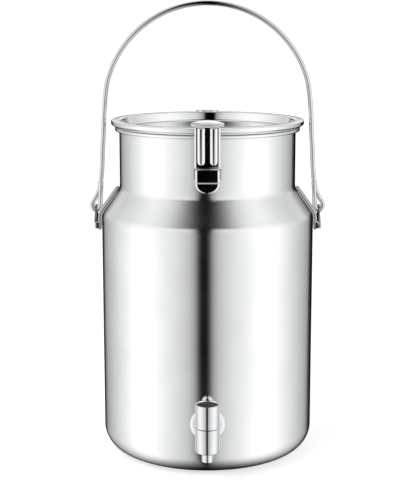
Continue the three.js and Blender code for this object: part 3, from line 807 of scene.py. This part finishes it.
def make_spigot_body():
    """The barrel's lower half with its nozzle, and the shank that runs into the can."""
    top = SEAM_Z - GAP
    outline = rounded([
        (CHAMBER_R, CHAMBER_LOW, 0),
        (NOZZLE_BORE, CHAMBER_LOW, 0),
        (NOZZLE_BORE, NOZZLE_LOW, 0.4),
        (NOZZLE_R, NOZZLE_LOW, 0.5),
        (NOZZLE_R, BARREL_LOW, 0.6),
        (BARREL_R, BARREL_LOW, 1.4),
        (BARREL_R, top, 0.5),
        (CHAMBER_R, top, 0.3),
    ])
    barrel = turned("spigot_body_turned", outline, SMALL_TURN, SPIGOT_PLACE)
    collar_near, collar_far = FLANGE_FAR + GAP, AXIS_OUT - BARREL_R - 0.5
    inner_end = AXIS_OUT - CHAMBER_R - 1
    stem = turned("stem", rounded([
        (0, SHANK_END, 0),
        (SHANK_R, SHANK_END, 0.5),
        (SHANK_R, collar_near, 0),
        (SHANK_SHOULDER_R, collar_near, 0.6),
        (SHANK_SHOULDER_R, collar_far, 0.6),
        (SHANK_R, collar_far, 0),
        (SHANK_R, inner_end, 0),
        (0, inner_end, 0),
    ]), 50, INLET_PLACE)
    bore = rod("bore", INLET_R, (0, -SHANK_END + 2, INLET_Z), (0, -AXIS_OUT + 1, INLET_Z), 48)
    dress(cut(join(barrel, stem), bore), "spigot_body")


def make_spigot_cap():
    """The barrel's upper half, which turns; its screw sits under the button."""
    bore, recess = STEM_R + GAP, BUTTON_R + GAP
    ledge_low, ledge_top = STEM_TOP + GAP, SCREW_SEAT - GAP
    outline = rounded([
        (bore, SEAM_Z + GAP, 0),
        (BARREL_R, SEAM_Z + GAP, 0.5),
        (BARREL_R, CAP_TOP, 0.6),
        (recess, CAP_TOP, 0.25),
        (recess, BUTTON_LOW - GAP, 0),
        (6.0, BUTTON_LOW - GAP, 0),
        (6.0, ledge_top, 0),
        (2.6, ledge_top, 0),
        (2.6, ledge_low, 0),
        (bore, ledge_low, 0),
    ])
    cap = turned("spigot_cap_turned", outline, SMALL_TURN, SPIGOT_PLACE)
    socket = rod("socket", ROD_R + GAP, (0, -AXIS_OUT + BARREL_R + 2, LEVER_Z),
                 (0, -AXIS_OUT + 7.2, LEVER_Z), 32)
    dress(cut(cap, socket), "spigot_cap")


def make_spigot_trim():
    """The lever with its ball, the flange, and the cap's screw under its black button."""
    start = (0, -BALL_OUT - BALL_R + 2.2, LEVER_Z)
    end = (0, -AXIS_OUT + 7.5, LEVER_Z)
    dress(rod("spigot_lever_rod_turned", ROD_R, start, end, 32, 0.3), "spigot_lever_rod")
    outline = [(0, -BALL_R), *arc(0, 0, BALL_R, -80, 80, 28), (0, BALL_R)]
    place = Matrix.Translation((0, -BALL_OUT * MM, LEVER_Z * MM))
    ball = turned("spigot_ball_turned", outline, 56, place, 60)
    socket = rod("socket", ROD_R + GAP, (0, -BALL_OUT - BALL_R + 2.5, LEVER_Z),
                 (0, -BALL_OUT - BALL_R - 2, LEVER_Z), 32)
    dress(cut(ball, socket), "spigot_lever_ball")
    disc = [
        (SHANK_R + GAP, FLANGE_NEAR),
        (FLANGE_R, FLANGE_NEAR),
        *arc(FLANGE_FLAT, FLANGE_FAR - FLANGE_CURVE, FLANGE_CURVE, 48, 90, 16),
        (SHANK_R + GAP, FLANGE_FAR),
    ]
    dress(turned("spigot_flange_turned", disc, 96, INLET_PLACE), "spigot_flange")
    screw_low, screw_top = SCREW_SEAT - 12.8, SCREW_SEAT + 1.8
    screw = rounded([
        (0, screw_low, 0), (SCREW_R, screw_low, 0.3), (SCREW_R, SCREW_SEAT, 0),
        (SCREW_HEAD_R, SCREW_SEAT, 0.2), (SCREW_HEAD_R, SCREW_SEAT + 1.0, 0.4),
        (4.8, screw_top, 0.4), (0, screw_top, 0),
    ])
    head = turned("spigot_cap_screw_turned", screw, 48, SPIGOT_PLACE)
    near, far = AXIS_OUT - 0.6, AXIS_OUT + 0.6
    slot_outline = [(-7, near), (7, near), (7, far), (-7, far)]
    slot = slab("slot", slot_outline, "top", SCREW_SEAT + 0.9, SCREW_SEAT + 4)
    dress(cut(head, slot), "spigot_cap_screw")
    top, dome_r = CAP_TOP - 0.2, 60.0
    lean = math.degrees(math.asin(9.8 / dome_r))
    dome = arc(0, top - dome_r, dome_r, 90 - lean, 90, 10)
    button = [(0, BUTTON_LOW), (BUTTON_R, BUTTON_LOW), (BUTTON_R, top - 1.0), *dome[:-1], (0, top)]
    dress(turned("spigot_cap_button_moulded", button, 64, SPIGOT_PLACE), "spigot_cap_button")


def make_spigot_plug():
    """The turning plug inside the barrel, with its L-shaped port and its stem."""
    low, top = CHAMBER_LOW + GAP, SEAM_Z - 2 * GAP
    groove_low, groove_top = SEAM_Z - 3.7, SEAM_Z - 1.3
    outline = rounded([
        (0, low, 0), (PLUG_R, low, 0.3),
        (PLUG_R, groove_low, 0), (GROOVE_R, groove_low, 0),
        (GROOVE_R, groove_top, 0), (PLUG_R, groove_top, 0),
        (PLUG_R, top, 0.3), (STEM_R, top, 0), (STEM_R, STEM_TOP, 0.3), (0, STEM_TOP, 0),
    ])
    plug = turned("spigot_plug_turned", outline, 48, SPIGOT_PLACE)
    middle = (0, -AXIS_OUT, INLET_Z)
    port_end = (PLUG_R + 2, -AXIS_OUT, INLET_Z)
    drop = rod("drop", PORT_R, (0, -AXIS_OUT, low - 1), middle, 32)
    port = rod("port", PORT_R, (-0.4, -AXIS_OUT, INLET_Z), port_end, 36)
    thread = rod("thread", 2.5, (0, -AXIS_OUT, STEM_TOP - 12), (0, -AXIS_OUT, STEM_TOP + 1), 28)
    dress(cut(plug, drop, port, thread), "spigot_plug")


def dress_cad_nodes():
    """Gives the CAD pieces that stay their slots' materials."""
    for name, chosen in slots.items():
        node = frame["nodes"][name]
        if not node.hide_render:
            node.data.materials.clear()
            node.data.materials.append(materials[chosen])


# ---- stage, light and camera -----------------------------------------------------------

def ramp(tree, value, stops):
    """A grey ramp over 0 to 180 degrees, from (degrees, brightness) stops."""
    node = tree.nodes.new("ShaderNodeValToRGB")
    elements = node.color_ramp.elements
    while len(elements) < len(stops):
        elements.new(0.5)
    for element, (angle, grey) in zip(elements, stops):
        element.position = angle / 180
        element.color = (grey, grey, grey, 1)
    tree.links.new(value, node.inputs["Fac"])
    return node.outputs["Color"]


def math_node(tree, operation, *values):
    return add(tree, "ShaderNodeMath", dict(enumerate(values)), operation=operation).outputs[0]


def smooth(tree, value, start, end):
    return add(tree, "ShaderNodeMapRange", {
        "Value": value, "From Min": start, "From Max": end, "To Min": 0.0, "To Max": 1.0,
    }, interpolation_type="SMOOTHSTEP").outputs["Result"]


def make_world():
    """A studio of soft light: bright banks on both sides, a dark gap at the camera."""
    world = bpy.data.worlds.new("studio")
    bpy.context.scene.world = world
    world.use_nodes = True
    tree = world.node_tree
    tree.nodes.clear()
    way = add(tree, "ShaderNodeTexCoord").outputs["Generated"]
    axes = add(tree, "ShaderNodeSeparateXYZ", {0: way}).outputs
    toward = math_node(tree, "MULTIPLY", axes["Y"], -1.0)
    signed = math_node(tree, "ADD", math_node(tree, "ARCTAN2", axes["X"], toward), GAP_TURN)
    turn = math_node(tree, "DIVIDE", math_node(tree, "ABSOLUTE", signed), math.pi)
    height = math_node(tree, "DEGREES", math_node(tree, "ARCSINE", axes["Z"]))
    walls = ramp(tree, turn, [
        (0, 0.0), (4.8, 0.0), (7, 0.13), (10, 0.31), (13.5, 0.415), (17, 0.5), (22, 0.56),
        (30, 0.66),
        (40, 0.755), (50, 0.85), (60, 0.96), (85, 0.93), (96, 0.785), (107, 0.667), (120, 0.52),
        (134, 0.385), (145, 0.28), (150, 0.05), (156, 0.0), (180, 0.0),
    ])
    back = ramp(tree, turn, [
        (0, 0.0), (7, 0.0), (10, 0.35), (20, 0.7), (50, 0.85), (75, 0.88), (91, 0.78), (107, 0.66),
        (126, 0.54), (140, 0.6), (150, 0.3), (166, 0.25), (171, 0.75), (180, 0.75),
    ])
    above = ramp(tree, turn, [
        (0, 0.0), (14, 0.0), (22, 0.03), (28, 0.09), (34, 0.17), (39, 0.26), (49, 0.46),
        (59, 0.62),
        (70, 0.74), (78, 0.79), (91, 0.76), (107, 0.62), (126, 0.5), (141, 0.45), (180, 0.4),
    ])
    low_mix = add(tree, "ShaderNodeMix", {
        "Factor": smooth(tree, height, 2.0, 7.0), "A": walls, "B": back,
    }, data_type="RGBA").outputs["Result"]
    colour = add(tree, "ShaderNodeMix", {
        "Factor": smooth(tree, height, 28.0, 44.0), "A": low_mix, "B": above,
    }, data_type="RGBA").outputs["Result"]
    ground = smooth(tree, height, -84.0, -38.0)
    strength = add(tree, "ShaderNodeMapRange", {"Value": ground, "To Min": 0.15, "To Max": 1.38})
    studio = add(tree, "ShaderNodeBackground", {
        "Color": colour, "Strength": strength.outputs["Result"],
    })
    paper = add(tree, "ShaderNodeBackground", {"Color": (1, 1, 1, 1), "Strength": 1.0})
    seen = add(tree, "ShaderNodeLightPath").outputs["Is Camera Ray"]
    mix = add(tree, "ShaderNodeMixShader", {0: seen, 1: studio.outputs[0], 2: paper.outputs[0]})
    out = tree.nodes.new("ShaderNodeOutputWorld")
    tree.links.new(mix.outputs[0], out.inputs["Surface"])


def make_floor():
    """A large pale floor, lit so that it fades into the background."""
    bm = bmesh.new()
    bmesh.ops.create_grid(bm, x_segments=1, y_segments=1, size=8.0)
    floor = finished("floor", bm)
    material, tree, shader = new_material("floor")
    shader.inputs["Base Color"].default_value = (0.9, 0.9, 0.9, 1)
    shader.inputs["Roughness"].default_value = 0.6
    shader.inputs["Emission Color"].default_value = (1, 1, 1, 1)
    shader.inputs["Emission Strength"].default_value = 0.45
    floor.data.materials.append(material)
    floor.visible_glossy = False


def make_light():
    """A soft key light from the upper left, kept out of reflections."""
    data = bpy.data.lights.new("key", "AREA")
    data.shape = "RECTANGLE"
    data.size, data.size_y = 1.6, 1.2
    data.energy = 14
    key = bpy.data.objects.new("key", data)
    key.location = (-1.1, -0.9, 1.9)
    aim = Vector((0, 0, 0.2)) - key.location
    key.rotation_euler = aim.to_track_quat("-Z", "Y").to_euler()
    key.visible_glossy = False
    bpy.context.scene.collection.objects.link(key)


def make_camera():
    """The photo's camera: straight ahead, looking slightly down."""
    data = bpy.data.cameras.new("camera")
    data.sensor_width = 36.0
    data.lens = 93.36
    data.shift_x = -0.002
    camera = bpy.data.objects.new("camera", data)
    camera.location = (0, -1.3386, 0.4686)
    camera.rotation_euler = (math.radians(90 - 10.915), 0, 0)
    bpy.context.scene.collection.objects.link(camera)
    bpy.context.scene.camera = camera
    bpy.context.scene.view_settings.view_transform = "Standard"


make_camera()
make_world()
make_floor()
make_light()
make_can()
make_ear(1)
make_ear(-1)
make_bail()
make_lid()
make_knob()
make_latch("front")
make_latch("rear")
make_spigot_body()
make_spigot_cap()
make_spigot_trim()
make_spigot_plug()
dress_cad_nodes()
